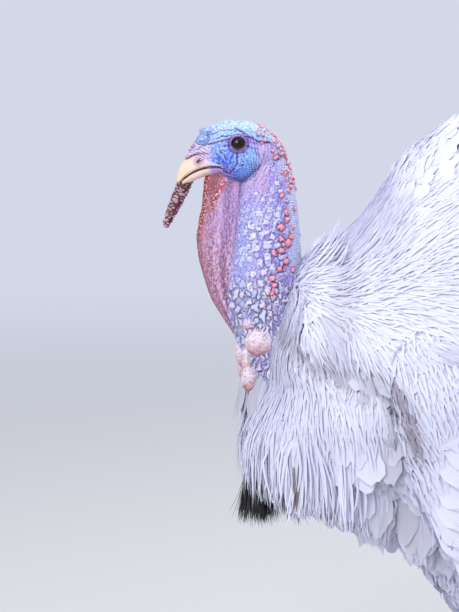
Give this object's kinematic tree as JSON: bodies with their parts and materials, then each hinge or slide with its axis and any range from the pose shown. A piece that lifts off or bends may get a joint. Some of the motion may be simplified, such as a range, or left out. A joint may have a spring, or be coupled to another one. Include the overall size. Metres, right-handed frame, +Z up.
{
  "type": "domestic turkey",
  "caption": "Life-size white domestic turkey tom, displaying: fluffed body, drooped wings, fanned tail, bare wattled head and neck, standing on flat-soled feet.",
  "frame": {"origin": "on the floor, under the middle of the whole bird's box", "axes": "+Z up, -X ahead of the bird, -Y to its left"},
  "size_m": [0.6408, 0.7204, 0.8246],
  "materials": {
    "feather": "soft white plumage with cool lavender shadows",
    "head_skin": "bare wrinkled skin, vivid blue face and pale blue crown",
    "neck_skin": "bare lilac and blue skin with pale cobbles and coral-red caruncles",
    "wattle_skin": "bare folded skin, pink-lilac mottled with red",
    "horn": "cream horn, satin",
    "eye": "wet, very dark brown",
    "beard": "coarse black bristles",
    "leg_scale": "scaled pinkish skin, matt"
  },
  "bodies": {
    "root": {"torso": "feather", "tail": "feather", "wing_left": "feather", "wing_right": "feather", "thigh_left": "feather", "thigh_right": "feather", "head": "head_skin", "neck": "neck_skin", "dewlap": "wattle_skin", "snood": "wattle_skin", "bill_upper": "horn", "bill_lower": "horn", "eye_left": "eye", "eye_right": "eye", "beard": "beard", "shank_left": "leg_scale", "shank_right": "leg_scale", "foot_left": "leg_scale", "foot_right": "leg_scale", "spur_left": "horn", "spur_right": "horn", "claw_left_1": "horn", "claw_left_2": "horn", "claw_left_3": "horn", "claw_left_4": "horn", "claw_right_1": "horn", "claw_right_2": "horn", "claw_right_3": "horn", "claw_right_4": "horn"}
  },
  "joints": []
}
